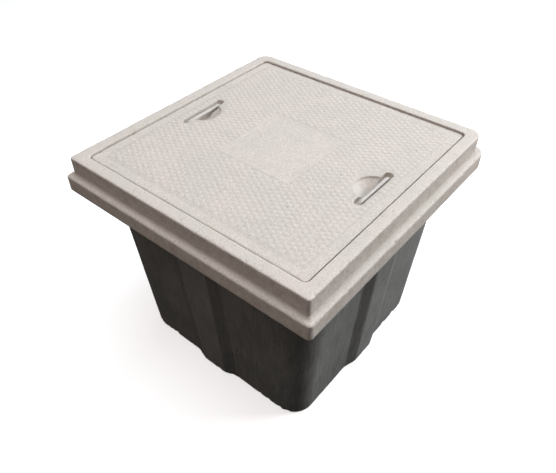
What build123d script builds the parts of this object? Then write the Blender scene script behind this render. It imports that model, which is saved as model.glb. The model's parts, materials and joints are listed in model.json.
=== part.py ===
"""Square inspection chamber: a recessed lift-out cover in a cast frame, on a precast concrete box.

Millimetres, +Z up. The origin is the centre of the box's underside, which stands on the ground.
X runs along the lift bars. The front bar lies near the lid's -Y edge, the rear bar near its +Y edge.
"""
import os
from math import atan, degrees

from build123d import *

os.makedirs("parts", exist_ok=True)

# ---- Driving dimensions -----------------------------------------------------------------------
# Precast box
box_base_width = 438.0
box_top_width = 496.0
box_height = 373.0
box_mouth_width = 400.0
box_floor = 45.0
box_corner_radius = 58.0
mouth_corner_radius = 45.0
pilaster_base_width = 114.0
pilaster_face_width = 56.0
pilaster_rise = 9.0
pilaster_blend = 8.0
base_chamfer = 3.0
drain_radius = 25.0

# Cast frame
bedding_height = 2.0
frame_height = 72.0
flange_width = 570.0
flange_height = 33.0
flange_corner_radius = 17.5
ledge_rise = 2.0
rim_width = 547.0
rim_corner_radius = 6.0
cove_radius = 8.0
rim_edge_radius = 1.5
flange_edge_radius = 2.5
opening_width = 500.0
opening_corner_radius = 10.0
seat_width = 496.0
throat_width = 436.0
throat_corner_radius = 45.0

# Lid
lid_recess = 3.5
lid_top_width = 495.0
lid_base_width = 489.0
lid_thickness = 40.0
lid_corner_radius = 8.0
lid_edge_radius = 1.0
badge_width = 167.0
badge_rim = 3.0
badge_rise = 0.8

# Lift bars, and what they slide in
bar_diameter = 8.0
bar_offset = 203.0
bar_sink = 1.5
bar_bend_radius = 7.0
bar_travel = 30.0
leg_spacing = 93.0
leg_chamfer = 1.0
slot_length = 111.0
slot_width = 17.5
slot_depth = 10.5
scoop_radius = 35.0
scoop_lip_radius = 34.0
scoop_lip_depth = 4.0
scoop_floor_radius = 11.0
scoop_depth = 18.0
sleeve_diameter = 14.0
sleeve_bore = 10.0
nut_pocket_diameter = 24.0
nut_pocket_depth = 13.0
washer_diameter = 18.0
washer_bore = 8.5
washer_height = 2.0
nut_flats = 13.0
nut_height = 6.5
thread_stand_out = 2.5

# Seals
body_gap = 0.3
gasket_width = 12.0
gasket_height = 3.0
gasket_groove = 1.5
gasket_outer_width = 480.0
gasket_corner_radius = 16.0
strip_outer_width = 470.0
strip_outer_corner_radius = 52.0
strip_width = 14.0

# Reinforcement
rebar_diameter = 6.0
mesh_pitch = 76.0
mesh_bars = 7
mesh_level = 12.0
weld_sink = 0.6
hoop_levels = {"lower": 60.0, "middle": 180.0, "upper": 300.0}
hoop_cover = 14.0
hoop_corner_radius = 55.0
upright_spacing = 210.0
upright_bottom = 20.0
upright_top = 355.0
ring_bar_widths = {"lower": 500.0, "upper": 523.0}
ring_bar_levels = {"lower": 391.0, "upper": 428.0}
ring_bar_corner_radius = 25.0

# ---- Levels and derived sizes -----------------------------------------------------------------
frame_base = box_height + bedding_height
frame_top = frame_base + frame_height
flange_top = frame_base + flange_height
waist_level = flange_top + ledge_rise
lid_top = frame_top - lid_recess
lid_base = lid_top - lid_thickness
gasket_base = lid_base - body_gap - gasket_height
seat_level = gasket_base + gasket_groove
slot_floor = lid_top - slot_depth
sleeve_base = lid_base + nut_pocket_depth
bar_axis_level = lid_top - bar_sink - bar_diameter / 2
washer_base = sleeve_base - body_gap - bar_travel - washer_height
nut_base = washer_base - nut_height
leg_end = nut_base - thread_stand_out
box_slope = (box_top_width - box_base_width) / 2 / box_height
leg_places = [(x, y) for y in (-bar_offset, bar_offset) for x in (-leg_spacing / 2, leg_spacing / 2)]


def save(part, label):
    """Label a finished piece and write it to its own STEP file."""
    part.label = label
    export_step(part, f"parts/{label}.step")


def flare(bottom_width, top_width, height):
    """Taper angle, in degrees, that takes one width to another over a height (negative widens)."""
    return degrees(atan((bottom_width - top_width) / 2 / height))


def box_half_width(level):
    """Half the width of the box across its flat outer faces, at a level."""
    return box_base_width / 2 + box_slope * level


def ring_bar(width, level, corner_radius):
    """A closed square loop of reinforcing bar, lying flat."""
    half = width / 2
    with BuildPart() as ring:
        with BuildLine(Plane.XY.offset(level)) as loop:
            FilletPolyline(
                (half, half), (-half, half), (-half, -half), (half, -half),
                radius=corner_radius, close=True,
            )
        with BuildSketch(loop.wire() ^ 0):
            Circle(rebar_diameter / 2)
        sweep(path=loop.wire())
    return ring.part


# ---- Precast box ------------------------------------------------------------------------------
with BuildPart() as chamber_box:
    with BuildSketch():
        RectangleRounded(box_base_width, box_base_width, box_corner_radius)
        with PolarLocations(box_base_width / 2, 4):
            Polygon(
                (-pilaster_rise, -pilaster_base_width / 2),
                (0, -pilaster_base_width / 2),
                (pilaster_rise, -pilaster_face_width / 2),
                (pilaster_rise, pilaster_face_width / 2),
                (0, pilaster_base_width / 2),
                (-pilaster_rise, pilaster_base_width / 2),
                align=None,
            )
    extrude(amount=box_height, taper=flare(box_base_width, box_top_width, box_height))
    uprights = chamber_box.edges().filter_by(lambda edge: edge.bounding_box().size.Z > box_height / 2)
    fillet(
        uprights.filter_by(
            lambda edge: min(abs(edge.center().X), abs(edge.center().Y)) < pilaster_base_width
        ),
        radius=pilaster_blend,
    )
    chamfer(chamber_box.faces().sort_by(Axis.Z)[0].edges(), length=base_chamfer)
    cavity_height = box_height - box_floor
    cavity_floor_width = box_mouth_width - 2 * box_slope * cavity_height
    with BuildSketch(Plane.XY.offset(box_floor)):
        RectangleRounded(
            cavity_floor_width, cavity_floor_width, mouth_corner_radius - box_slope * cavity_height
        )
    extrude(
        amount=cavity_height,
        taper=flare(cavity_floor_width, box_mouth_width, cavity_height),
        mode=Mode.SUBTRACT,
    )
    with Locations((0, 0, box_floor)):
        Hole(radius=drain_radius, depth=box_floor)
save(chamber_box.part, "chamber_box")

for name, level in hoop_levels.items():
    hoop_width = 2 * (box_half_width(level) - hoop_cover)
    save(ring_bar(hoop_width, level, hoop_corner_radius), f"box_hoop_{name}")

# The uprights stand just inside the hoops, two to a wall, and lean with it.
upright_inset = hoop_cover + rebar_diameter + body_gap
for number in range(8):
    wall_angle = 90 * (number // 2)
    across = upright_spacing * (number % 2 - 0.5)
    foot = Vector(box_half_width(upright_bottom) - upright_inset, across, upright_bottom)
    head = Vector(box_half_width(upright_top) - upright_inset, across, upright_top)
    foot = foot.rotate(Axis.Z, wall_angle)
    head = head.rotate(Axis.Z, wall_angle)
    with BuildPart() as box_upright:
        with BuildSketch(Plane(origin=foot, z_dir=head - foot)):
            Circle(rebar_diameter / 2)
        extrude(amount=(head - foot).length)
    save(box_upright.part, f"box_upright_{number + 1}")

# ---- Seal between box and frame ---------------------------------------------------------------
with BuildPart() as bedding_strip:
    with BuildSketch(Plane.XY.offset(box_height)):
        RectangleRounded(strip_outer_width, strip_outer_width, strip_outer_corner_radius)
        offset(amount=-strip_width, mode=Mode.SUBTRACT)
    extrude(amount=bedding_height)
save(bedding_strip.part, "bedding_strip")

# ---- Cast frame -------------------------------------------------------------------------------
with BuildPart() as cover_frame:
    with BuildSketch(Plane.XY.offset(frame_base)):
        RectangleRounded(flange_width, flange_width, flange_corner_radius)
    extrude(amount=flange_height)
    with BuildSketch(Plane.XY.offset(flange_top)):
        RectangleRounded(flange_width, flange_width, flange_corner_radius)
    extrude(amount=ledge_rise, taper=flare(flange_width, rim_width, ledge_rise))
    with BuildSketch(Plane.XY.offset(waist_level)):
        RectangleRounded(rim_width, rim_width, rim_corner_radius)
    extrude(amount=frame_top - waist_level)
    waist_edges = cover_frame.edges().filter_by_position(
        Axis.Z, waist_level - 0.01, waist_level + 0.01
    )
    fillet(waist_edges, radius=cove_radius)
    fillet(cover_frame.faces().sort_by(Axis.Z)[-1].edges(), radius=rim_edge_radius)
    fillet(cover_frame.faces().sort_by(Axis.Z)[0].edges(), radius=flange_edge_radius)
    with BuildSketch(Plane.XY.offset(seat_level)):
        RectangleRounded(seat_width, seat_width, opening_corner_radius)
    opening_height = frame_top - seat_level
    extrude(
        amount=opening_height,
        taper=flare(seat_width, opening_width, opening_height),
        mode=Mode.SUBTRACT,
    )
    with BuildSketch(Plane.XY.offset(frame_base)):
        RectangleRounded(throat_width, throat_width, throat_corner_radius)
    extrude(amount=frame_height, mode=Mode.SUBTRACT)
    with BuildSketch(Plane.XY.offset(gasket_base)) as gasket_plan:
        RectangleRounded(gasket_outer_width, gasket_outer_width, gasket_corner_radius)
        offset(amount=-gasket_width, mode=Mode.SUBTRACT)
    extrude(amount=gasket_groove, mode=Mode.SUBTRACT)
save(cover_frame.part, "cover_frame")

with BuildPart() as seat_gasket:
    add(gasket_plan.sketch)
    extrude(amount=gasket_height)
save(seat_gasket.part, "seat_gasket")

for name, level in ring_bar_levels.items():
    ring = ring_bar(ring_bar_widths[name], level, ring_bar_corner_radius)
    save(ring, f"frame_ring_bar_{name}")

# ---- Lid --------------------------------------------------------------------------------------
# Finger scoop: a round dish centred under a bar, with a steep lip above a cone-sided floor. It is cut
# off straight at the slot's outer side.
top_centred = (Align.CENTER, Align.CENTER, Align.MAX)
with BuildPart() as scoop:
    with Locations((0, 0, lid_top)):
        Cone(scoop_lip_radius, scoop_radius, scoop_lip_depth, align=top_centred)
    with Locations((0, 0, lid_top - scoop_lip_depth)):
        Cone(scoop_floor_radius, scoop_lip_radius, scoop_depth - scoop_lip_depth, align=top_centred)
    with Locations((0, -slot_width / 2, lid_top)):
        Box(
            4 * scoop_radius, 4 * scoop_radius, 4 * scoop_radius,
            align=(Align.CENTER, Align.MIN, Align.CENTER), mode=Mode.INTERSECT,
        )

with BuildPart() as lid:
    with BuildSketch(Plane.XY.offset(lid_base)):
        RectangleRounded(lid_base_width, lid_base_width, lid_corner_radius)
    extrude(amount=lid_thickness, taper=flare(lid_base_width, lid_top_width, lid_thickness))
    fillet(lid.faces().sort_by(Axis.Z)[-1].edges(), radius=lid_edge_radius)
    with BuildSketch(Plane.XY.offset(lid_top)):
        Rectangle(badge_width, badge_width)
        Rectangle(badge_width - 2 * badge_rim, badge_width - 2 * badge_rim, mode=Mode.SUBTRACT)
    extrude(amount=badge_rise)
    with BuildSketch(Plane.XY.offset(slot_floor)):
        with Locations((0, -bar_offset), (0, bar_offset)):
            SlotOverall(slot_length, slot_width)
    extrude(amount=slot_depth, mode=Mode.SUBTRACT)
    with Locations(Location((0, -bar_offset, 0)), Location((0, bar_offset, 0), (0, 0, 180))):
        add(scoop.part, mode=Mode.SUBTRACT)
    with BuildSketch(Plane.XY.offset(lid_base)):
        with Locations(*leg_places):
            Circle(nut_pocket_diameter / 2)
    extrude(amount=nut_pocket_depth, mode=Mode.SUBTRACT)
    with BuildSketch(Plane.XY.offset(sleeve_base)):
        with Locations(*leg_places):
            Circle(sleeve_diameter / 2)
    extrude(amount=slot_floor - sleeve_base, mode=Mode.SUBTRACT)
save(lid.part, "lid")

# Bars one way lie on the bars the other way, and each crossing is welded.
with BuildPart() as lid_mesh:
    mesh_half = mesh_pitch * (mesh_bars - 1) / 2 + 2 * rebar_diameter
    lower_level = lid_base + mesh_level - rebar_diameter / 2
    upper_level = lower_level + rebar_diameter - weld_sink
    with BuildSketch(Plane.XZ.offset(-mesh_half)):
        with Locations((0, lower_level)):
            with GridLocations(mesh_pitch, 0, mesh_bars, 1):
                Circle(rebar_diameter / 2)
    extrude(amount=2 * mesh_half)
    with BuildSketch(Plane.YZ.offset(-mesh_half)):
        with Locations((0, upper_level)):
            with GridLocations(mesh_pitch, 0, mesh_bars, 1):
                Circle(rebar_diameter / 2)
    extrude(amount=2 * mesh_half)
save(lid_mesh.part, "lid_mesh")

# ---- Lift bars and their fittings -------------------------------------------------------------
sleeve_names = ["front_left", "front_right", "rear_left", "rear_right"]
for name, place in zip(sleeve_names, leg_places):
    with BuildPart() as guide_sleeve:
        with BuildSketch(Plane.XY.offset(sleeve_base)):
            with Locations(place):
                Circle(sleeve_diameter / 2)
                Circle(sleeve_bore / 2, mode=Mode.SUBTRACT)
        extrude(amount=slot_floor - sleeve_base)
    save(guide_sleeve.part, f"guide_sleeve_{name}")

for name, offset_y in {"front": -bar_offset, "rear": bar_offset}.items():
    legs = [(-leg_spacing / 2, offset_y), (leg_spacing / 2, offset_y)]
    with BuildPart() as lift_bar:
        with BuildLine(Plane.XZ.offset(-offset_y)) as bar_path:
            FilletPolyline(
                (-leg_spacing / 2, leg_end),
                (-leg_spacing / 2, bar_axis_level),
                (leg_spacing / 2, bar_axis_level),
                (leg_spacing / 2, leg_end),
                radius=bar_bend_radius,
            )
        with BuildSketch(bar_path.wire() ^ 0):
            Circle(bar_diameter / 2)
        sweep(path=bar_path.wire())
        leg_tips = lift_bar.edges().group_by(Axis.Z)[0]
        chamfer(leg_tips, length=leg_chamfer)
    save(lift_bar.part, f"lift_bar_{name}")

    with BuildPart() as stop_washers:
        with BuildSketch(Plane.XY.offset(washer_base)):
            with Locations(*legs):
                Circle(washer_diameter / 2)
                Circle(washer_bore / 2, mode=Mode.SUBTRACT)
        extrude(amount=washer_height)
    save(stop_washers.part, f"stop_washers_{name}")

    with BuildPart() as stop_nuts:
        with BuildSketch(Plane.XY.offset(nut_base)):
            with Locations(*legs):
                RegularPolygon(nut_flats / 2, 6, major_radius=False)
                Circle(bar_diameter / 2, mode=Mode.SUBTRACT)
        extrude(amount=nut_height)
    save(stop_nuts.part, f"stop_nuts_{name}")
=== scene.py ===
"""Looks for the square inspection chamber: metres, +Z up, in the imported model's own frame."""
import json
import math
import random

import bmesh
import bpy
import numpy as np
from mathutils import Matrix, Vector, kdtree, noise


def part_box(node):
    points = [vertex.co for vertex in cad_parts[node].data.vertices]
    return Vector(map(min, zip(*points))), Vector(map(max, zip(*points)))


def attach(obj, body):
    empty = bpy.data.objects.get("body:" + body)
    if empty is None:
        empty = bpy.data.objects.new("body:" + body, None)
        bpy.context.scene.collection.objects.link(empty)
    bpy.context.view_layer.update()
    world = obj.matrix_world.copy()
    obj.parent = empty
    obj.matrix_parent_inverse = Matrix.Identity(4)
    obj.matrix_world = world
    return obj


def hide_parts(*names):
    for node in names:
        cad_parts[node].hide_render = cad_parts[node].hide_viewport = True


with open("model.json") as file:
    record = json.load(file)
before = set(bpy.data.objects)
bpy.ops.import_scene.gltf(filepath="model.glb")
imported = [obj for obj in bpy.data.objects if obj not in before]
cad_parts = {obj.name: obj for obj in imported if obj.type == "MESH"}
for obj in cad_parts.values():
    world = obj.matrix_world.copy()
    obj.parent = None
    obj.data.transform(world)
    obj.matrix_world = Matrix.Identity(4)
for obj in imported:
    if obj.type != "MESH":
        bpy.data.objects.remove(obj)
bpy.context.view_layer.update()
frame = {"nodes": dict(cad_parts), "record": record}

MM = 0.001
nodes = frame["nodes"]
scene = bpy.context.scene

# ---- Sizes, from the frame's boxes and the real castings ---------------------------------------
FRONT, RIGHT, BACK, LEFT = range(4)  # corners: (-X -Y), (+X -Y), (+X +Y), (-X +Y)
frame_low, frame_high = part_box("cover_frame")
lid_low, lid_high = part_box("lid")
_, box_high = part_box("chamber_box")
sleeve_low, sleeve_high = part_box("guide_sleeve_front_right")
gasket_low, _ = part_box("seat_gasket")
FRAME_TOP, FRAME_BASE, FLANGE_HALF = frame_high[2], frame_low[2], frame_high[0]
BADGE_RISE = 0.8 * MM  # the CAD's badge border, which is the lid's highest part
LID_TOP, LID_BASE, LID_HALF = lid_high[2] - BADGE_RISE, lid_low[2], lid_high[0]
BOX_TOP = box_high[2]
PILASTER_RISE = 9.0 * MM
BOX_TOP_HALF = box_high[0] - PILASTER_RISE
BOX_BASE_HALF = 219.0 * MM
BOX_SLOPE = (BOX_TOP_HALF - BOX_BASE_HALF) / BOX_TOP
LEG_X = (sleeve_low[0] + sleeve_high[0]) / 2
BAR_Y = -(sleeve_low[1] + sleeve_high[1]) / 2
SLEEVE_HALF = (sleeve_high[0] - sleeve_low[0]) / 2
SLEEVE_BASE, SLOT_FLOOR = sleeve_low[2], sleeve_high[2]
GROOVE_DEPTH = 1.5 * MM
SEAT_LEVEL = gasket_low[2] + GROOVE_DEPTH


# ---- Mesh helpers -------------------------------------------------------------------------------
def smooth_step(a, b, x):
    """0 at a or before, 1 at b or after, with a smooth change between."""
    t = min(1.0, max(0.0, (x - a) / (b - a)))
    return t * t * (3 - 2 * t)


def reach_of(x, y):
    """Half the width of the square, centred on the part, whose edge a point is on."""
    return max(abs(x), abs(y))


def unit_ring(steps_x, steps_y):
    """Points once round the unit square's edge, anticlockwise from its -X -Y corner."""
    points = []
    for u, v, du, dv, steps in (
        (-1, -1, 1, 0, steps_x), (1, -1, 0, 1, steps_y),
        (1, 1, -1, 0, steps_x), (-1, 1, 0, -1, steps_y),
    ):
        points += [(u + 2 * du * i / steps, v + 2 * dv * i / steps) for i in range(steps)]
    return points


def corner_of(u, v):
    """Which corner a point of the unit square belongs to."""
    if v < 0:
        return FRONT if u < 0 else RIGHT
    return LEFT if u < 0 else BACK


def on_square(u, v, half, radii):
    """A unit square's edge point moved to a square with rounded corners: x, y and the way out."""
    radius = radii[corner_of(u, v)]
    x, y = u * half, v * half
    inner = half - radius
    dx, dy = abs(x) - inner, abs(y) - inner
    if dx > 0 and dy > 0 and radius > 0:
        length = math.hypot(dx, dy)
        nx, ny = math.copysign(dx / length, u), math.copysign(dy / length, v)
        return math.copysign(inner, u) + nx * radius, math.copysign(inner, v) + ny * radius, nx, ny
    if abs(abs(u) - 1) < 1e-9:
        return x, y, math.copysign(1, u), 0.0
    return x, y, 0.0, math.copysign(1, v)


def loft(rings, closed):
    """Vertices and quads between rings of equal length. Closed joins the last ring to the first."""
    count = len(rings[0])
    verts = [point for ring in rings for point in ring]
    faces = []
    for r in range(len(rings) if closed else len(rings) - 1):
        a, b = r * count, (r + 1) % len(rings) * count
        faces += [(a + i, a + (i + 1) % count, b + (i + 1) % count, b + i) for i in range(count)]
    return verts, faces


def fill_arc(before, corner, after, radius, steps):
    """Points of the arc that rounds a profile's corner."""
    to_before = (Vector(before) - Vector(corner)).normalized()
    to_after = (Vector(after) - Vector(corner)).normalized()
    half_angle = to_before.angle(to_after) / 2
    reach = radius / math.tan(half_angle)
    centre = Vector(corner) + (to_before + to_after).normalized() * (radius / math.sin(half_angle))
    start = Vector(corner) + to_before * reach - centre
    end = Vector(corner) + to_after * reach - centre
    angle = start.angle_signed(end)
    return [tuple(centre + Matrix.Rotation(-angle * i / steps, 2) @ start) for i in range(steps + 1)]


def round_profile(corners, spacing):
    """A profile polyline with its corners rounded and its runs divided.

    Each corner is (half width, level, rounding radius). Each point of the result is (half, level).
    """
    bare = [(h, z) for h, z, _ in corners]
    points = [bare[0]]
    for i in range(1, len(corners)):
        _, _, radius = corners[i]
        if radius > 0 and i < len(corners) - 1:
            steps = 6 if radius > 4 * MM else 3
            target = fill_arc(bare[i - 1], bare[i], bare[i + 1], radius, steps)
        else:
            target = [bare[i]]
        start, end = Vector(points[-1]), Vector(target[0])
        runs = max(1, round((end - start).length / spacing))
        points += [tuple(start.lerp(end, k / runs)) for k in range(1, runs)]
        points += target
    return points


def make_object(name, verts, faces):
    """A mesh object with smooth faces whose normals point out."""
    mesh = bpy.data.meshes.new(name)
    mesh.from_pydata(verts, [], faces)
    bm = bmesh.new()
    bm.from_mesh(mesh)
    bmesh.ops.recalc_face_normals(bm, faces=bm.faces)
    bm.to_mesh(mesh)
    bm.free()
    obj = bpy.data.objects.new(name, mesh)
    scene.collection.objects.link(obj)
    shade(obj)
    return obj


def shade(obj, sharp_above=38):
    """Smooth shading, with edges sharper than an angle in degrees kept crisp."""
    obj.data.polygons.foreach_set("use_smooth", [True] * len(obj.data.polygons))
    obj.data.set_sharp_from_angle(angle=math.radians(sharp_above))


def read_verts(obj):
    """The mesh's points and normals as arrays."""
    count = len(obj.data.vertices)
    places, normals = np.empty(count * 3), np.empty(count * 3)
    obj.data.vertices.foreach_get("co", places)
    obj.data.vertices.foreach_get("normal", normals)
    return places.reshape(-1, 3), normals.reshape(-1, 3)


def write_verts(obj, places):
    """Moves the mesh's points."""
    obj.data.vertices.foreach_set("co", places.reshape(-1))
    obj.data.update()


def tree_of(places):
    """A search tree over points."""
    tree = kdtree.KDTree(len(places))
    for i, place in enumerate(places):
        tree.insert(place, i)
    tree.balance()
    return tree


def set_attribute(obj, name, values):
    """Stores one number per point, for the material to read."""
    attribute = obj.data.attributes.get(name) or obj.data.attributes.new(name, "FLOAT", "POINT")
    attribute.data.foreach_set("value", np.asarray(values, dtype=np.float32))


def wear(
    obj, *, seed, wave, wave_scale,
    chips, chip_size, chip_depth, chip_here, pits, pit_depth, pit_here,
):
    """Casting waviness, chipped edges and air-bubble pits, all cut inwards.

    chip_here and pit_here tell which points can have them. The pits' strengths are stored on the
    mesh, where the material darkens the pits with painted shade, and returned.
    """
    rng = random.Random(seed)
    places, normals = read_verts(obj)
    sink = np.array([
        wave * (0.5 + 0.5 * noise.noise(Vector(p) * wave_scale + Vector((seed, 0, 0))))
        for p in places
    ])
    tree = tree_of(places)
    chip_spots = [i for i, place in enumerate(places) if chip_here(place)]
    for _ in range(chips):
        centre = Vector(places[rng.choice(chip_spots)])
        reach = rng.uniform(*chip_size)
        depth = rng.uniform(*chip_depth)
        for _, index, distance in tree.find_range(centre, reach):
            sink[index] += depth * (1 - (distance / reach) ** 2) ** 2
    pit_spots = [i for i, place in enumerate(places) if pit_here(place)]
    pitted = np.zeros(len(places))
    for _ in range(pits):
        index = rng.choice(pit_spots)
        sink[index] += rng.uniform(*pit_depth)
        pitted[index] = rng.uniform(0.5, 1.0)
    write_verts(obj, places - normals * sink[:, None])
    set_attribute(obj, "pit_shade", pitted)
    return pitted


def cut(obj, cutters):
    """Takes the cutters' shapes out of an object, for good."""
    for cutter in cutters:
        modifier = obj.modifiers.new("cut", "BOOLEAN")
        modifier.operation = "DIFFERENCE"
        modifier.solver = "MANIFOLD"
        modifier.object = cutter
    bpy.context.view_layer.update()
    made = bpy.data.meshes.new_from_object(obj.evaluated_get(bpy.context.evaluated_depsgraph_get()))
    obj.modifiers.clear()
    old, obj.data = obj.data, made
    bpy.data.meshes.remove(old)
    for cutter in cutters:
        bpy.data.objects.remove(cutter)


# ---- Camera -------------------------------------------------------------------------------------
AZIMUTH, ELEVATION, ROLL = math.radians(-50.167), math.radians(42.371), math.radians(-0.523)
TARGET = Vector((0.0, 0.0, FRAME_TOP))
TARGET_RIGHT, TARGET_UP, TARGET_DISTANCE = 0.00591, 0.17081, 1.06717
SENSOR_WIDTH, LENS = 36.0, 37.207  # millimetres

back = Vector((
    math.sin(AZIMUTH) * math.cos(ELEVATION),
    -math.cos(AZIMUTH) * math.cos(ELEVATION),
    math.sin(ELEVATION),
))
right = (-back).cross(Vector((0, 0, 1))).normalized()
up = right.cross(-back)
rolled_right = right * math.cos(ROLL) + up * math.sin(ROLL)
rolled_up = up * math.cos(ROLL) - right * math.sin(ROLL)
camera_data = bpy.data.cameras.new("camera")
camera_data.sensor_width = SENSOR_WIDTH
camera_data.lens = LENS
camera = bpy.data.objects.new("camera", camera_data)
scene.collection.objects.link(camera)
camera_place = TARGET - rolled_right * TARGET_RIGHT - rolled_up * TARGET_UP + back * TARGET_DISTANCE
camera.matrix_world = Matrix((
    (rolled_right.x, rolled_up.x, back.x, camera_place.x),
    (rolled_right.y, rolled_up.y, back.y, camera_place.y),
    (rolled_right.z, rolled_up.z, back.z, camera_place.z),
    (0, 0, 0, 1),
))
scene.camera = camera


# ---- Light, world and floor ---------------------------------------------------------------------
LIGHT_TARGET = (0, 0, 0.30)
LIGHTS = (  # name, place, size, watts, colour
    ("light_right", (2.85, -0.80, 1.55), 1.2, 46, (0.72, 0.96, 1.0)),
    ("light_front", (2.10, -2.05, 1.45), 1.4, 79, (1.0, 0.95, 0.935)),
    ("light_top", (0.0, 0.0, 2.90), 2.4, 55, (0.95, 0.955, 1.0)),
    ("light_left", (-2.10, 0.30, 2.50), 2.2, 22, (1.0, 0.83, 0.74)),
)
WORLD_COLOUR, WORLD_STRENGTH = (1.0, 0.97, 0.94, 1.0), 0.01


def area_light(name, place, size, power, colour):
    """A square soft light that points at the box."""
    data = bpy.data.lights.new(name, "AREA")
    data.shape = "SQUARE"
    data.size = size
    data.energy = power
    data.color = colour
    light = bpy.data.objects.new(name, data)
    scene.collection.objects.link(light)
    light.location = place
    light.rotation_mode = "QUATERNION"
    light.rotation_quaternion = (Vector(LIGHT_TARGET) - Vector(place)).to_track_quat("-Z", "Y")


for light_values in LIGHTS:
    area_light(*light_values)

world = bpy.data.worlds.new("studio")
world.use_nodes = True
background = world.node_tree.nodes["Background"]
background.inputs["Color"].default_value = WORLD_COLOUR
background.inputs["Strength"].default_value = WORLD_STRENGTH
scene.world = world
scene.view_settings.view_transform = "Standard"


# ---- Material helpers ---------------------------------------------------------------------------
def new_material(name):
    """A material, its node tree and its main shader."""
    material = bpy.data.materials.new(name)
    material.use_nodes = True
    return material, material.node_tree, material.node_tree.nodes["Principled BSDF"]


def feed(tree, socket, value):
    """Links an input to another node's output, or sets its value."""
    if isinstance(value, bpy.types.NodeSocket):
        tree.links.new(value, socket)
    elif socket.type == "RGBA":
        socket.default_value = (*value, 1.0)
    else:
        socket.default_value = value


def add(tree, kind, inputs=None, **settings):
    """A node with its settings and inputs."""
    made = tree.nodes.new(kind)
    for key, value in settings.items():
        setattr(made, key, value)
    for key, value in (inputs or {}).items():
        feed(tree, made.inputs[key], value)
    return made


def place_of(tree, stretch=(1, 1, 1)):
    """Coordinates in metres that stay with the piece, stretched along each axis."""
    coords = add(tree, "ShaderNodeTexCoord").outputs["Object"]
    return add(tree, "ShaderNodeMapping", {"Vector": coords, "Scale": stretch}).outputs["Vector"]


def noise_of(tree, place, scale, detail=3.0, rough=0.55, bend=0.0):
    """A noise pattern, from 0 to 1."""
    return add(
        tree, "ShaderNodeTexNoise",
        {"Vector": place, "Scale": scale, "Detail": detail, "Roughness": rough, "Distortion": bend},
    ).outputs["Fac"]


def between(tree, value, low, high, out_low=0.0, out_high=1.0):
    """A pattern stretched so that low becomes out_low and high becomes out_high."""
    return add(
        tree, "ShaderNodeMapRange",
        {"Value": value, "From Min": low, "From Max": high, "To Min": out_low, "To Max": out_high},
        interpolation_type="SMOOTHSTEP",
    ).outputs["Result"]


def product_of(tree, a, b):
    """Two numbers multiplied."""
    made = add(tree, "ShaderNodeMath", operation="MULTIPLY")
    feed(tree, made.inputs[0], a)
    feed(tree, made.inputs[1], b)
    return made.outputs["Value"]


def blend_of(tree, amount, a, b, mode="MIX"):
    """A colour between two, or one multiplied over the other."""
    made = add(tree, "ShaderNodeMix", data_type="RGBA", blend_type=mode, clamp_factor=True)
    for index, value in ((0, amount), (6, a), (7, b)):  # the node's factor and its two colours
        feed(tree, made.inputs[index], value)
    return made.outputs[2]


def tinted(tree, colour, tint, pattern, strength):
    """A colour taken some way towards a tint where a pattern is high."""
    return blend_of(tree, product_of(tree, pattern, strength), colour, tint)


def attribute_of(tree, name):
    """A number stored on the mesh's points."""
    return add(tree, "ShaderNodeAttribute", attribute_name=name).outputs["Fac"]


def bump_of(tree, height, distance, strength, under=None):
    """A bumped normal from a height pattern, over an earlier bump if there is one."""
    inputs = {"Height": height, "Distance": distance, "Strength": strength}
    if under is not None:
        inputs["Normal"] = under
    return add(tree, "ShaderNodeBump", inputs).outputs["Normal"]


# ---- Materials ----------------------------------------------------------------------------------
def light_concrete():
    """Fine cream casting mix: sandy grain, pink and buff mottling, blotches of painted shade on the
    sides, painted shade in hollows and gaps, and pits darkened with painted shade.
    """
    material, tree, shader = new_material("light_concrete")
    place = place_of(tree)
    broad = between(tree, noise_of(tree, place, 11, 3, 0.6), 0.36, 0.64)
    colour = blend_of(tree, broad, (0.635, 0.598, 0.553), (0.668, 0.610, 0.572))
    patches = between(tree, noise_of(tree, place, 45, 4, 0.65), 0.42, 0.66)
    colour = tinted(tree, colour, (0.600, 0.560, 0.505), patches, 0.5)
    sand = between(tree, noise_of(tree, place, 430, 3, 0.7), 0.32, 0.70, 0.82, 1.10)
    colour = blend_of(tree, 1.0, colour, sand, "MULTIPLY")
    specks = between(tree, noise_of(tree, place, 300, 1, 0.5), 0.67, 0.74)
    colour = tinted(tree, colour, (0.30, 0.265, 0.235), specks, 0.45)
    # Painted shade on the upright faces, broken into blotches by noise.
    normal = add(tree, "ShaderNodeNewGeometry").outputs["Normal"]
    level = add(tree, "ShaderNodeSeparateXYZ", {"Vector": normal}).outputs["Z"]
    tilt = add(tree, "ShaderNodeMath", {0: level}, operation="ABSOLUTE").outputs["Value"]
    upright_shade_mask = between(tree, tilt, 0.25, 0.75, 1.0, 0.0)
    blotch = between(tree, noise_of(tree, place, 62, 5, 0.68), 0.44, 0.64)
    colour = tinted(tree, colour, (0.45, 0.38, 0.325), product_of(tree, blotch, upright_shade_mask), 0.42)
    # Painted shade in the frame's cove, between the lid's studs, in the lid's -X gap and in its
    # scoops.
    colour = tinted(tree, colour, (0.36, 0.335, 0.305), attribute_of(tree, "painted_shade"), 0.15)
    # Painted shade in the air-bubble pits.
    colour = tinted(tree, colour, (0.22, 0.19, 0.17), attribute_of(tree, "pit_shade"), 0.7)
    tree.links.new(colour, shader.inputs["Base Color"])
    rough = between(tree, noise_of(tree, place, 90, 3), 0.3, 0.7, 0.74, 0.92)
    tree.links.new(rough, shader.inputs["Roughness"])
    shader.inputs["Specular IOR Level"].default_value = 0.32
    coarse = bump_of(tree, noise_of(tree, place, 160, 4, 0.6), 0.0009, 0.5)
    grain = bump_of(tree, noise_of(tree, place, 600, 3, 0.7), 0.0005, 0.6, coarse)
    tree.links.new(grain, shader.inputs["Normal"])
    return material


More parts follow.
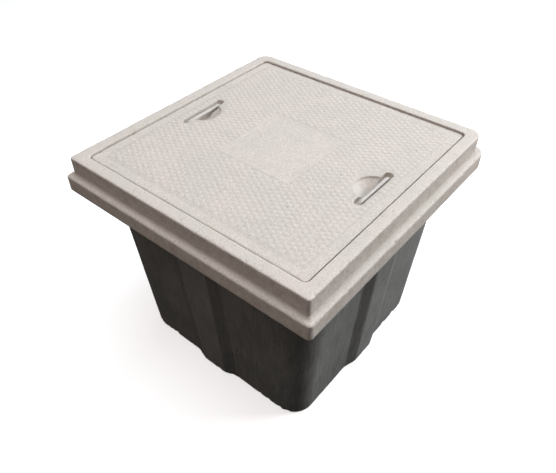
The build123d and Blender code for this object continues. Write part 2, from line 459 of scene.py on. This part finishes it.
def dark_concrete():
    """Dark grey precast concrete: mould streaks, stains and scuffs, painted light on the pilaster
    faces, painted shade on the flanks and on the faces turned towards -X, and pits darkened with
    painted shade.
    """
    material, tree, shader = new_material("dark_concrete")
    place = place_of(tree)
    clouds = between(tree, noise_of(tree, place, 9, 4, 0.6), 0.34, 0.68)
    colour = blend_of(tree, clouds, (0.180, 0.186, 0.182), (0.232, 0.238, 0.233))
    streaks = between(tree, noise_of(tree, place_of(tree, (75, 75, 2.2)), 1.0, 4, 0.65), 0.33, 0.70)
    colour = tinted(tree, colour, (0.280, 0.290, 0.288), streaks, 0.24)
    fine = noise_of(tree, place_of(tree, (240, 240, 6)), 1.0, 3, 0.6)
    fine = between(tree, fine, 0.35, 0.65, 0.84, 1.12)
    colour = blend_of(tree, 1.0, colour, fine, "MULTIPLY")
    stain = between(tree, noise_of(tree, place_of(tree, (22, 22, 9)), 1.0, 5, 0.7), 0.56, 0.70)
    colour = tinted(tree, colour, (0.130, 0.136, 0.132), stain, 0.34)
    grain = between(tree, noise_of(tree, place, 460, 3, 0.7), 0.30, 0.70, 0.84, 1.12)
    colour = blend_of(tree, 1.0, colour, grain, "MULTIPLY")
    scuff = between(tree, noise_of(tree, place, 120, 3, 0.7), 0.64, 0.74)
    colour = tinted(tree, colour, (0.35, 0.355, 0.345), scuff, 0.25)
    # Painted shade: faces turned towards -X are darkened.
    normal = add(tree, "ShaderNodeNewGeometry").outputs["Normal"]
    facing = add(tree, "ShaderNodeSeparateXYZ", {"Vector": normal}).outputs["X"]
    minus_x_shade = between(tree, facing, -0.9, -0.3, 1.0, 0.0)
    colour = tinted(tree, colour, (0.112, 0.124, 0.128), minus_x_shade, 0.30)
    # Painted light on the pilaster faces, along one arris and on the -Y wall towards +X.
    colour = tinted(tree, colour, (0.330, 0.338, 0.334), attribute_of(tree, "painted_light"), 0.45)
    # Painted shade on the pilaster flanks.
    colour = tinted(tree, colour, (0.085, 0.088, 0.086), attribute_of(tree, "flank_shade"), 0.38)
    # Painted shade in the air-bubble pits.
    colour = blend_of(tree, attribute_of(tree, "pit_shade"), colour, (0.045, 0.046, 0.044))
    tree.links.new(colour, shader.inputs["Base Color"])
    rough = between(tree, noise_of(tree, place, 60, 3), 0.3, 0.7, 0.62, 0.86)
    tree.links.new(rough, shader.inputs["Roughness"])
    shader.inputs["Specular IOR Level"].default_value = 0.35
    ridges = bump_of(tree, noise_of(tree, place_of(tree, (180, 180, 4)), 1.0, 3, 0.6), 0.0008, 0.35)
    rough_bump = bump_of(tree, noise_of(tree, place, 420, 4, 0.7), 0.0005, 0.45, ridges)
    tree.links.new(rough_bump, shader.inputs["Normal"])
    return material


def bar_steel():
    """Drawn steel under a dry film of pale casting dust, rubbed bright in places."""
    material, tree, shader = new_material("bar_steel")
    place = place_of(tree)
    lines = noise_of(tree, place_of(tree, (90, 900, 900)), 1.0, 2, 0.5)
    drawn = between(tree, lines, 0.3, 0.7)
    colour = blend_of(tree, drawn, (0.47, 0.45, 0.425), (0.55, 0.525, 0.50))
    dust = between(tree, noise_of(tree, place, 120, 4, 0.7), 0.38, 0.60)
    colour = tinted(tree, colour, (0.53, 0.495, 0.465), dust, 0.7)
    tree.links.new(colour, shader.inputs["Base Color"])
    tree.links.new(between(tree, dust, 0, 1, 0.30, 0.06), shader.inputs["Metallic"])
    rough = between(tree, noise_of(tree, place, 200, 3), 0.3, 0.7, 0.52, 0.70)
    tree.links.new(rough, shader.inputs["Roughness"])
    tree.links.new(bump_of(tree, lines, 0.0002, 0.3), shader.inputs["Normal"])
    return material


def fitting_steel():
    """Zinc-dipped steel with its dull grey spangle."""
    material, tree, shader = new_material("fitting_steel")
    place = place_of(tree)
    spangle = add(tree, "ShaderNodeTexVoronoi", {"Vector": place, "Scale": 420.0}).outputs["Color"]
    grey = add(tree, "ShaderNodeSeparateColor", {"Color": spangle}).outputs[0]
    colour = blend_of(tree, grey, (0.43, 0.44, 0.45), (0.60, 0.61, 0.62))
    bloom = between(tree, noise_of(tree, place, 160, 4, 0.7), 0.50, 0.68)
    colour = tinted(tree, colour, (0.66, 0.66, 0.64), bloom, 0.6)
    tree.links.new(colour, shader.inputs["Base Color"])
    tree.links.new(between(tree, bloom, 0, 1, 0.95, 0.45), shader.inputs["Metallic"])
    tree.links.new(between(tree, grey, 0, 1, 0.38, 0.58), shader.inputs["Roughness"])
    tree.links.new(bump_of(tree, noise_of(tree, place, 900, 2), 0.0002, 0.3), shader.inputs["Normal"])
    return material


def rebar_steel():
    """Rusty reinforcing bar: orange-brown bloom over dark mill scale."""
    material, tree, shader = new_material("rebar_steel")
    place = place_of(tree)
    rust = between(tree, noise_of(tree, place, 150, 5, 0.7), 0.40, 0.62)
    colour = blend_of(tree, rust, (0.085, 0.060, 0.050), (0.30, 0.125, 0.055))
    tree.links.new(colour, shader.inputs["Base Color"])
    tree.links.new(between(tree, rust, 0, 1, 0.60, 0.92), shader.inputs["Roughness"])
    shader.inputs["Metallic"].default_value = 0.25
    tree.links.new(bump_of(tree, noise_of(tree, place, 700, 4), 0.0004, 0.6), shader.inputs["Normal"])
    return material


def seal_rubber():
    """Black seal rubber with a dusty grey bloom."""
    material, tree, shader = new_material("seal_rubber")
    place = place_of(tree)
    bloom = between(tree, noise_of(tree, place, 90, 5, 0.7), 0.42, 0.70)
    colour = blend_of(tree, bloom, (0.018, 0.018, 0.019), (0.070, 0.068, 0.064))
    tree.links.new(colour, shader.inputs["Base Color"])
    tree.links.new(between(tree, bloom, 0, 1, 0.52, 0.80), shader.inputs["Roughness"])
    tree.links.new(bump_of(tree, noise_of(tree, place, 600, 3), 0.0003, 0.4), shader.inputs["Normal"])
    return material


FLOOR_GLOW = 0.55


def pale_floor():
    """A matte floor that looks pale to the camera, and bounces as little as a dull yard does."""
    material, tree, shader = new_material("studio_floor")
    seen = add(tree, "ShaderNodeLightPath").outputs["Is Camera Ray"]
    colour = blend_of(tree, seen, (0.07, 0.066, 0.062), (0.94, 0.94, 0.94))
    tree.links.new(colour, shader.inputs["Base Color"])
    shader.inputs["Emission Color"].default_value = (1.0, 1.0, 1.0, 1.0)
    tree.links.new(product_of(tree, seen, FLOOR_GLOW), shader.inputs["Emission Strength"])
    shader.inputs["Roughness"].default_value = 1.0
    shader.inputs["Specular IOR Level"].default_value = 0.0
    return material


makers = (light_concrete, dark_concrete, bar_steel, fitting_steel, rebar_steel, seal_rubber)
finishes = {maker.__name__: maker() for maker in makers}


def dress(obj, slot_name):
    """Gives an object one finish."""
    obj.data.materials.clear()
    obj.data.materials.append(finishes[slot_name])


def paint(obj, slot_name):
    """Gives an object one finish."""
    dress(obj, slot_name)


for part in frame["record"]["subparts"]:
    dress(nodes[part["node"]], part["material_slot"])


# ---- Cast frame ---------------------------------------------------------------------------------
THROAT_HALF, SEAT_HALF, OPENING_HALF = 218 * MM, 248 * MM, 250 * MM
RIM_HALF = 273.5 * MM
FLANGE_TOP, WAIST_LEVEL = FRAME_BASE + 33 * MM, FRAME_BASE + 35 * MM
GROOVE_OUTER, GROOVE_INNER = 240 * MM, 228 * MM
THROAT_BEVEL = 1.2 * MM

# Corner radii. The rim's and what the flange adds are for the front, right, back and left corners.
THROAT_RADIUS, SEAT_RADIUS, OPENING_RADIUS = 45 * MM, 16 * MM, 10 * MM
RIM_RADII = (5 * MM, 22 * MM, 24 * MM, 5 * MM)
FLANGE_EXTRA = (3 * MM, 4 * MM, 3 * MM, 2 * MM)
FRAME_STEPS = 222

# Painted shade in the cove where the frame's side meets its flange.
COVE_SHADE, COVE_REACH = 2.6, 5 * MM

outer_profile = round_profile([
    (THROAT_HALF + 2 * MM, FRAME_BASE, 0),
    (FLANGE_HALF, FRAME_BASE, 2.5 * MM),
    (FLANGE_HALF, FLANGE_TOP, 4.2 * MM),
    (RIM_HALF, WAIST_LEVEL, 6.0 * MM),
    (RIM_HALF, FRAME_TOP, 2.4 * MM),
    (OPENING_HALF + 0.1 * MM, FRAME_TOP, 1.0 * MM),
    (SEAT_HALF, SEAT_LEVEL, 0),
], 3.2 * MM)
inner_profile = [
    (GROOVE_OUTER, SEAT_LEVEL), (GROOVE_OUTER, gasket_low[2]),
    (GROOVE_INNER, gasket_low[2]), (GROOVE_INNER, SEAT_LEVEL),
    (THROAT_HALF + THROAT_BEVEL, SEAT_LEVEL), (THROAT_HALF, SEAT_LEVEL - THROAT_BEVEL),
    (THROAT_HALF, SEAT_LEVEL - 10 * MM), (THROAT_HALF, FRAME_BASE + 12 * MM),
    (THROAT_HALF, FRAME_BASE + THROAT_BEVEL),
]


def frame_radii(half, level):
    """Corner radii of the frame at one point of its profile: front, right, back, left."""
    if half <= THROAT_HALF + 3 * MM:
        return [THROAT_RADIUS] * 4
    if half < OPENING_HALF - 5 * MM:
        return [SEAT_RADIUS] * 4
    if half < OPENING_HALF + 2 * MM:
        return [OPENING_RADIUS] * 4
    edge = smooth_step(RIM_HALF, FLANGE_HALF, half)
    if level > FRAME_TOP - 8 * MM:
        edge = 0.0
    share = smooth_step(OPENING_HALF, RIM_HALF - 3 * MM, half)
    corners = [radius + extra * edge for radius, extra in zip(RIM_RADII, FLANGE_EXTRA)]
    return [OPENING_RADIUS + (radius - OPENING_RADIUS) * share for radius in corners]


perimeter = unit_ring(FRAME_STEPS, FRAME_STEPS)
rings = []
for half, level in outer_profile + inner_profile:
    radii = frame_radii(half, level)
    rings.append([(*on_square(u, v, half, radii)[:2], level) for u, v in perimeter])
frame_casting = make_object("frame_casting", *loft(rings, closed=True))


def frame_edge(place):
    """True on the frame's outer arrises."""
    half = reach_of(place[0], place[1])
    top_edge = half > RIM_HALF - 2.6 * MM and place[2] > FRAME_TOP - 2 * MM
    flange_edge = half > FLANGE_HALF - 2.2 * MM and abs(place[2] - FLANGE_TOP) < 2 * MM
    return top_edge or flange_edge


def frame_outside(place):
    """True on the frame's faces that show."""
    half = reach_of(place[0], place[1])
    return half > OPENING_HALF + 3 * MM and place[2] > FRAME_BASE + 3 * MM


def frame_cove_shade(x, y, z):
    """Painted shade in the hollow where the frame's side meets its flange."""
    out = (reach_of(x, y) - RIM_HALF) / COVE_REACH
    over = (z - WAIST_LEVEL) / COVE_REACH
    return COVE_SHADE * math.exp(-(out ** 2 + over ** 2))


wear(
    frame_casting, seed=11, wave=0.55 * MM, wave_scale=42,
    chips=340, chip_size=(1.5 * MM, 5.5 * MM), chip_depth=(0.2 * MM, 1.0 * MM), chip_here=frame_edge,
    pits=90, pit_depth=(0.4 * MM, 1.0 * MM), pit_here=frame_outside,
)
shade(frame_casting)
frame_places, _ = read_verts(frame_casting)
set_attribute(frame_casting, "painted_shade", [frame_cove_shade(x, y, z) for x, y, z in frame_places])
paint(frame_casting, "light_concrete")
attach(frame_casting, "chamber")
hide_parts("cover_frame")


# ---- Lid ----------------------------------------------------------------------------------------
DOT_PITCH, DOT_ROW = 11.5 * MM, 10.0 * MM
DOT_RADIUS, DOT_RISE = 5.2 * MM, 0.78 * MM
BORDER = 18 * MM
BADGE_HALF, BADGE_RIM = 83.5 * MM, 3 * MM
BADGE_SHARE = 0.45  # the seen border is lower than the CAD's
SLOT_HALF_LENGTH, SLOT_HALF_WIDTH = 55.5 * MM, 8.75 * MM
SLOT_LIP = 0.8 * MM
SCOOP_RADIUS, SCOOP_FLOOR_RADIUS, SCOOP_DEPTH = 35 * MM, 11 * MM, 18 * MM
SCOOP_LIP_RADIUS, SCOOP_LIP = 34 * MM, 4 * MM
POCKET_RADIUS = 12 * MM
SLEEVE_GAP = 0.05 * MM

# Points of the scoop's profile in millimetres: the radius, and for its ends the level from the face.
SCOOP_COVE = ((10.4, -17.8), (11.8, -17.3))
SCOOP_SIDE = (13.5, 16, 20, 24, 28, 31, 33)
SCOOP_RIM = (
    (33.7, -4.0), (34.1, -3.5), (34.5, -2.2), (34.8, -1.0),
    (35.2, -0.4), (35.9, -0.08), (36.6, 0.05), (36.8, 6),
)

# Painted shade between the studs, in the gap down the lid's -X side and in the scoops.
STUD_SHADE, UNSHADED_SHARE = 1.15, 0.55  # studs get no painted shade above this share of their height
GAP_SHADE = 3.2
SCOOP_SHADE, SCOOP_SHADE_MORE = 1.0, 1.6
SAME_POINT = 0.2 * MM

dot_rng = random.Random(3)
dot_sizes = {}


def slot_distance(x, y):
    """Distance from the nearer lift bar's slot, less than 0 inside it."""
    along = max(0.0, abs(x) - (SLOT_HALF_LENGTH - SLOT_HALF_WIDTH))
    return math.hypot(along, abs(y) - BAR_Y) - SLOT_HALF_WIDTH


def dot_height(x, y):
    """Height of the raised round studs over the lid's plain face."""
    row = round(y / DOT_ROW)
    shift = DOT_PITCH / 2 if row % 2 else 0.0
    column = round((x - shift) / DOT_PITCH)
    cx, cy = column * DOT_PITCH + shift, row * DOT_ROW
    if reach_of(cx, cy) > LID_HALF - BORDER - DOT_RADIUS:
        return 0.0
    if reach_of(cx, cy) < BADGE_HALF + DOT_RADIUS + 1 * MM:
        return 0.0
    scoop_distance = math.hypot(cx, abs(cy) - BAR_Y)
    in_scoop = abs(cy) < BAR_Y and scoop_distance < SCOOP_RADIUS + DOT_RADIUS + 1.5 * MM
    if slot_distance(cx, cy) < DOT_RADIUS + 1 * MM or in_scoop:
        return 0.0
    if (row, column) not in dot_sizes:
        dot_sizes[row, column] = dot_rng.uniform(0.82, 1.0)
    reach = math.hypot(x - cx, y - cy) / DOT_RADIUS
    return DOT_RISE * dot_sizes[row, column] * max(0.0, 1 - reach * reach) ** 0.6


def badge_height(x, y):
    """Height of the thin raised border round the blank middle panel."""
    reach = reach_of(x, y)
    inside = smooth_step(BADGE_HALF - BADGE_RIM - 1 * MM, BADGE_HALF - BADGE_RIM + 1 * MM, reach)
    outside = smooth_step(BADGE_HALF - 1 * MM, BADGE_HALF + 1 * MM, reach)
    return BADGE_RISE * BADGE_SHARE * (inside - outside)


CELLS_X, CELLS_Y = 246, 236
STEP_X, STEP_Y = DOT_PITCH / 6, DOT_ROW / 5
grid_half_x, grid_half_y = CELLS_X * STEP_X / 2, CELLS_Y * STEP_Y / 2
verts = []
for j in range(CELLS_Y + 1):
    for i in range(CELLS_X + 1):
        x, y = i * STEP_X - grid_half_x, j * STEP_Y - grid_half_y
        verts.append((x, y, LID_TOP + dot_height(x, y) + badge_height(x, y)))
faces = []
for j in range(CELLS_Y):
    for i in range(CELLS_X):
        a = j * (CELLS_X + 1) + i
        faces.append((a, a + 1, a + CELLS_X + 2, a + CELLS_X + 1))

# The grid's own edge, in the same order as the rings that carry on from it.
edge = list(range(CELLS_X))
edge += [j * (CELLS_X + 1) + CELLS_X for j in range(CELLS_Y)]
edge += [CELLS_Y * (CELLS_X + 1) + CELLS_X - i for i in range(CELLS_X)]
edge += [(CELLS_Y - j) * (CELLS_X + 1) for j in range(CELLS_Y)]
LID_BASE_HALF = LID_HALF - 3.2 * MM
lid_profile = round_profile([
    (LID_HALF - 8 * MM, LID_TOP, 0),
    (LID_HALF - 0.2 * MM, LID_TOP, 1.1 * MM),
    (LID_BASE_HALF, LID_BASE, 1.2 * MM),
    (LID_BASE_HALF - 6 * MM, LID_BASE, 0),
], 3.5 * MM)
lid_radii = [8 * MM, 9 * MM, 9 * MM, 8 * MM]
lid_ring = unit_ring(CELLS_X, CELLS_Y)
previous = edge
for half, level in lid_profile:
    start = len(verts)
    inset = LID_HALF - half
    radii = [max(1 * MM, r - inset) for r in lid_radii]
    verts += [(*on_square(u, v, half, radii)[:2], level) for u, v in lid_ring]
    ring = list(range(start, start + len(lid_ring)))
    count = len(ring)
    faces += [
        (previous[k], previous[(k + 1) % count], ring[(k + 1) % count], ring[k]) for k in range(count)
    ]
    previous = ring
faces.append(tuple(reversed(previous)))
lid_slab = make_object("lid_slab", verts, faces)


def lid_edge(place):
    """True on the lid's top arris."""
    return reach_of(place[0], place[1]) > LID_HALF - 1.6 * MM and place[2] > LID_TOP - 1.2 * MM


def lid_face(place):
    """True on the lid's walked-on face."""
    return place[2] > LID_TOP - 0.5 * MM and reach_of(place[0], place[1]) < LID_HALF - 4 * MM


pitted = wear(
    lid_slab, seed=23, wave=0.25 * MM, wave_scale=24,
    chips=70, chip_size=(2.5 * MM, 6 * MM), chip_depth=(0.2 * MM, 0.9 * MM), chip_here=lid_edge,
    pits=60, pit_depth=(0.5 * MM, 1.1 * MM), pit_here=lid_face,
)
lid_places, _ = read_verts(lid_slab)
pit_places = [(Vector(lid_places[i]), pitted[i]) for i in np.nonzero(pitted)[0]]


def capsule_ring(spread, level, y, steps=20):
    """A level ring the shape of a lift bar's slot, spread outwards by a distance."""
    centre_x, radius = SLOT_HALF_LENGTH - SLOT_HALF_WIDTH, SLOT_HALF_WIDTH + spread
    ring = []
    for side in (1, -1):
        for k in range(steps + 1):
            angle = -side * math.pi / 2 + math.pi * k / steps
            x = side * centre_x + radius * math.cos(angle)
            ring.append((x, y + radius * math.sin(angle), level))
    return ring


def lathe_ring(radius, level, x, y, steps=72):
    """A level circle."""
    turn = 2 * math.pi / steps
    return [
        (x + radius * math.cos(k * turn), y + radius * math.sin(k * turn), level)
        for k in range(steps)
    ]


def solid_of(name, rings):
    """A closed solid from rings, with flat ends."""
    verts, faces = loft(rings, closed=False)
    count = len(rings[0])
    faces.append(tuple(range(count)))
    faces.append(tuple(range(len(verts) - count, len(verts))))
    return make_object(name, verts, faces)


CUT_ABOVE, CUT_BELOW = 6 * MM, 1 * MM  # how far the cutters pass the lid's faces


def slot_cutter(y):
    """Cuts a lift bar's slot, with a soft floor edge and a rounded lip."""
    levels = [
        (-1.2 * MM, SLOT_FLOOR), (-0.3 * MM, SLOT_FLOOR + 0.5 * MM), (0, SLOT_FLOOR + 1.5 * MM),
        (0, LID_TOP - SLOT_LIP),
    ]
    for k in range(1, 5):
        angle = k * math.pi / 8
        levels.append((SLOT_LIP * (1 - math.cos(angle)), LID_TOP - SLOT_LIP * (1 - math.sin(angle))))
    levels.append((SLOT_LIP, LID_TOP + CUT_ABOVE))
    return solid_of("cut_slot", [capsule_ring(spread, level, y) for spread, level in levels])


def scoop_cutter(y):
    """Cuts a scoop with a soft floor, a sloping side and a steep lip, up to the slot's far side."""
    slope = (SCOOP_DEPTH - SCOOP_LIP) / (SCOOP_LIP_RADIUS - SCOOP_FLOOR_RADIUS)
    levels = [(0.5 * MM, -SCOOP_DEPTH), (SCOOP_FLOOR_RADIUS - 2 * MM, -SCOOP_DEPTH)]
    levels += [(radius * MM, level * MM) for radius, level in SCOOP_COVE]
    levels += [
        (radius * MM, slope * (radius * MM - SCOOP_LIP_RADIUS) - SCOOP_LIP) for radius in SCOOP_SIDE
    ]
    levels += [(radius * MM, level * MM) for radius, level in SCOOP_RIM]
    cutter = solid_of("cut_scoop", [
        lathe_ring(radius, LID_TOP + level, 0, y) for radius, level in levels
    ])
    side = math.copysign(1, y)
    bm = bmesh.new()
    bm.from_mesh(cutter.data)
    trimmed = bmesh.ops.bisect_plane(
        bm, geom=bm.verts[:] + bm.edges[:] + bm.faces[:],
        plane_co=(0, y + side * SLOT_HALF_WIDTH, 0), plane_no=(0, side, 0), clear_outer=True,
    )
    rim = [g for g in trimmed["geom_cut"] if isinstance(g, bmesh.types.BMEdge)]
    bmesh.ops.contextual_create(bm, geom=rim)
    bmesh.ops.recalc_face_normals(bm, faces=bm.faces)
    bm.to_mesh(cutter.data)
    bm.free()
    return cutter


def leg_cutters(x, y):
    """Cut the hole that a guide sleeve sits in, and the pocket under it for the stop nuts."""
    bore_radius = SLEEVE_HALF + SLEEVE_GAP
    bore = [(bore_radius, SLEEVE_BASE - CUT_BELOW), (bore_radius, SLOT_FLOOR + 1 * MM)]
    pocket = [
        (POCKET_RADIUS + 1.2 * MM, LID_BASE - CUT_BELOW), (POCKET_RADIUS + 1.0 * MM, LID_BASE),
        (POCKET_RADIUS, LID_BASE + 1.2 * MM), (POCKET_RADIUS, SLEEVE_BASE),
    ]
    return [
        solid_of("cut_bore", [lathe_ring(radius, z, x, y, 40) for radius, z in bore]),
        solid_of("cut_pocket", [lathe_ring(radius, z, x, y, 48) for radius, z in pocket]),
    ]


cutters = []
for y in (-BAR_Y, BAR_Y):
    cutters += [slot_cutter(y), scoop_cutter(y)]
    for x in (-LEG_X, LEG_X):
        cutters += leg_cutters(x, y)
cut(lid_slab, cutters)
shade(lid_slab)


def lid_painted_shade(x, y, z):
    """Painted shade between the studs, in the gap down the lid's -X side and in the scoops, most
    towards their -X end.
    """
    studded = BADGE_HALF < reach_of(x, y) < LID_HALF - BORDER
    in_scoop = math.hypot(x, abs(y) - BAR_Y) < SCOOP_RADIUS and abs(y) < BAR_Y
    painted_shade = 0.0
    if z > LID_TOP - 1 * MM and studded and slot_distance(x, y) > 1 * MM:
        painted_shade = STUD_SHADE * (1 - min(1.0, dot_height(x, y) / (UNSHADED_SHARE * DOT_RISE)))
    if x < -LID_HALF + 1.8 * MM:
        painted_shade = GAP_SHADE
    if z < LID_TOP - 0.8 * MM and in_scoop:
        painted_shade = SCOOP_SHADE + SCOOP_SHADE_MORE * smooth_step(5 * MM, -25 * MM, x)
    return painted_shade


lid_places, _ = read_verts(lid_slab)
painted_shade = [lid_painted_shade(x, y, z) for x, y, z in lid_places]
pit_values = np.zeros(len(lid_places))
lid_tree = tree_of(lid_places)
for place, strength in pit_places:
    _, index, distance = lid_tree.find(place)
    if distance < SAME_POINT:
        pit_values[index] = strength
set_attribute(lid_slab, "painted_shade", painted_shade)
set_attribute(lid_slab, "pit_shade", pit_values)
paint(lid_slab, "light_concrete")
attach(lid_slab, "lid")
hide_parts("lid")


# ---- Precast box --------------------------------------------------------------------------------
BOX_FLOOR = 45 * MM
DRAIN_RADIUS, DRAIN_LIP, DRAIN_MIDDLE = 25 * MM, 1.2 * MM, 22 * MM
MOUTH_HALF, MOUTH_RADIUS = 200 * MM, 45 * MM
UNDERSIDE_INSET, UNDERSIDE_RADIUS = 14 * MM, 40 * MM
BOX_RADII = (45 * MM, 58 * MM, 58 * MM, 58 * MM)  # front, right, back and left corners, at the base
FLANK_OUTER, FLANK_INNER, FLANK_LEAN = 57 * MM, 28 * MM, 0.152
FLANK_SOFT = 0.13
BOX_STEPS, WALL_RINGS, CAVITY_RINGS = 216, 58, 14
FOOT_HEIGHT, WALL_RUN = 5.5 * MM, BOX_TOP - 8 * MM  # the wall's plain part, between its roundings

# The roundings in millimetres: each inset or outset from the wall's line, with a level.
FOOT_ROUNDING = ((4.0, 0.0), (3.0, 0.25), (1.6, 1.3), (0.6, 3.2), (0.1, 5.5))
TOP_ROUNDING = ((0.1, 1.5), (0.6, 0.5), (1.6, 0.0))  # below the box's top
MOUTH_ROUNDING = ((1.6, 0.0), (0.6, 0.5), (0.0, 1.6))  # below the box's top
FLOOR_COVE = ((0.3, 14), (-1.6, 7), (-4.6, 2.4), (-10.0, 0))  # over the box's floor

# Painted light on the pilaster faces, a painted highlight along one arris and painted light on the -Y
# wall towards +X.
FACE_LIGHT, ARRIS_HIGHLIGHT, ARRIS_WIDTH = 0.45, 0.55, 1.6 * MM
WALL_LIGHT, WALL_LIGHT_FROM, WALL_LIGHT_TO = 0.45, 20 * MM, 90 * MM
# Painted shade on the pilaster flanks, less on the far flank.
FAR_FLANK_SHADE = 0.45


def pilaster(across, spread):
    """How far the wall's middle pilaster stands out, at a distance from the wall's centre line."""
    grow = FLANK_LEAN * spread
    t = (FLANK_OUTER + grow - abs(across)) / (FLANK_OUTER - FLANK_INNER)
    if t <= -FLANK_SOFT:
        share = 0.0
    elif t < FLANK_SOFT:
        share = (t + FLANK_SOFT) ** 2 / (4 * FLANK_SOFT)
    elif t < 1 - FLANK_SOFT:
        share = t
    elif t < 1 + FLANK_SOFT:
        share = 1 - (1 + FLANK_SOFT - t) ** 2 / (4 * FLANK_SOFT)
    else:
        share = 1.0
    return PILASTER_RISE * share


def box_outline(u, v, spread, inset=0.0):
    """A point on the box's outside, where the walls have leaned out by spread, less an inset."""
    half = BOX_BASE_HALF + spread - inset
    x, y, nx, ny = on_square(u, v, half, [radius + spread - inset for radius in BOX_RADII])
    across = y if abs(nx) > abs(ny) else x
    rise = pilaster(across, spread)
    return x + nx * rise, y + ny * rise


perimeter = unit_ring(BOX_STEPS, BOX_STEPS)


def drain_ring(outline, share, level):
    """A level ring between the drain hole's edge, at share 0, and an outline, at share 1."""
    ring = []
    for (u, v), (x, y) in zip(perimeter, outline):
        length = math.hypot(u, v)
        cx, cy = DRAIN_RADIUS * u / length, DRAIN_RADIUS * v / length
        ring.append((cx + (x - cx) * share, cy + (y - cy) * share, level))
    return ring


def wall_ring(level, inset):
    """A ring round the box's outside."""
    return [(*box_outline(u, v, BOX_SLOPE * level, inset), level) for u, v in perimeter]


underside_half = BOX_BASE_HALF - UNDERSIDE_INSET
underside = [on_square(u, v, underside_half, [UNDERSIDE_RADIUS] * 4)[:2] for u, v in perimeter]
rings = [drain_ring(underside, share, 0.0) for share in (0.0, 0.3, 0.7, 1.0)]
rings += [wall_ring(level * MM, inset * MM) for inset, level in FOOT_ROUNDING]
for k in range(1, WALL_RINGS):
    rings.append(wall_ring(FOOT_HEIGHT + WALL_RUN * k / WALL_RINGS, 0.0))
rings += [wall_ring(BOX_TOP - below * MM, inset * MM) for inset, below in TOP_ROUNDING]
cavity = [(BOX_TOP - below * MM, outset) for outset, below in MOUTH_ROUNDING]
cavity += [
    (BOX_FLOOR + (BOX_TOP - BOX_FLOOR) * k / CAVITY_RINGS, 0.0)
    for k in range(CAVITY_RINGS - 1, 1, -1)
]
cavity += [(BOX_FLOOR + over * MM, outset) for outset, over in FLOOR_COVE]
for level, outset in cavity:
    lean = BOX_SLOPE * (BOX_TOP - level)
    half = MOUTH_HALF - lean + outset * MM
    radii = [max(8 * MM, MOUTH_RADIUS - lean + outset * MM)] * 4
    rings.append([(*on_square(u, v, half, radii)[:2], level) for u, v in perimeter])
floor_edge = [(x, y) for x, y, _ in rings[-1]]
rings += [drain_ring(floor_edge, share, BOX_FLOOR) for share in (0.6, 0.25, 0.04)]
rings.append(drain_ring(floor_edge, 0.0, BOX_FLOOR - DRAIN_LIP))
rings.append([(x, y, DRAIN_MIDDLE) for x, y, _ in rings[-1]])
chamber_casting = make_object("chamber_casting", *loft(rings, closed=True))


def box_edge(place):
    """True on the box's bottom outer edge and its top edges."""
    half = reach_of(place[0], place[1])
    return (place[2] < 4 * MM and half > BOX_BASE_HALF - 6 * MM) or place[2] > BOX_TOP - 1 * MM


def box_walls(place):
    """True on the box's walls, inside and outside."""
    return 6 * MM < place[2] < BOX_TOP - 4 * MM


def box_light_and_shade(x, y, z):
    """How much painted light and how much painted shade a point of the box gets. Its insides get
    neither.
    """
    if reach_of(x, y) < BOX_BASE_HALF + BOX_SLOPE * z - 24 * MM:
        return 0.0, 0.0
    across = y if abs(x) > abs(y) else x
    past = abs(across) - FLANK_INNER - FLANK_LEAN * BOX_SLOPE * z  # from the pilaster's arris
    # Painted light on the pilaster's face, a painted highlight along one arris, and painted light on
    # the -Y wall towards +X.
    painted_light = FACE_LIGHT * (past < 0) + ARRIS_HIGHLIGHT * math.exp(-((past / ARRIS_WIDTH) ** 2)) * (x < y)
    if y < 0 and abs(y) > abs(x):
        painted_light += WALL_LIGHT * smooth_step(WALL_LIGHT_FROM, WALL_LIGHT_TO, x)
    # Painted shade on the pilaster's flanks, lighter on the far one.
    on_flank = smooth_step(1 * MM, 5 * MM, past) * (1 - smooth_step(24 * MM, 32 * MM, past))
    return painted_light, on_flank * (1.0 if across < 0 else FAR_FLANK_SHADE)


wear(
    chamber_casting, seed=37, wave=0.7 * MM, wave_scale=16,
    chips=150, chip_size=(4 * MM, 11 * MM), chip_depth=(0.5 * MM, 2.2 * MM), chip_here=box_edge,
    pits=140, pit_depth=(0.5 * MM, 1.3 * MM), pit_here=box_walls,
)
shade(chamber_casting)
box_places, _ = read_verts(chamber_casting)
painted_light, flank_shade = zip(*(box_light_and_shade(x, y, z) for x, y, z in box_places))
set_attribute(chamber_casting, "painted_light", painted_light)
set_attribute(chamber_casting, "flank_shade", flank_shade)
paint(chamber_casting, "dark_concrete")
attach(chamber_casting, "chamber")
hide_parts("chamber_box")


# ---- Floor and the end --------------------------------------------------------------------------
FLOOR_HALF, FLOOR_GAP = 7, 0.5 * MM

floor = bpy.data.objects.new("studio_floor", bpy.data.meshes.new("studio_floor"))
floor_corners = [(u * FLOOR_HALF, v * FLOOR_HALF, 0) for u, v in unit_ring(1, 1)]
floor.data.from_pydata(floor_corners, [], [(0, 1, 2, 3)])
floor.data.materials.append(pale_floor())
floor.location.z = -FLOOR_GAP
scene.collection.objects.link(floor)
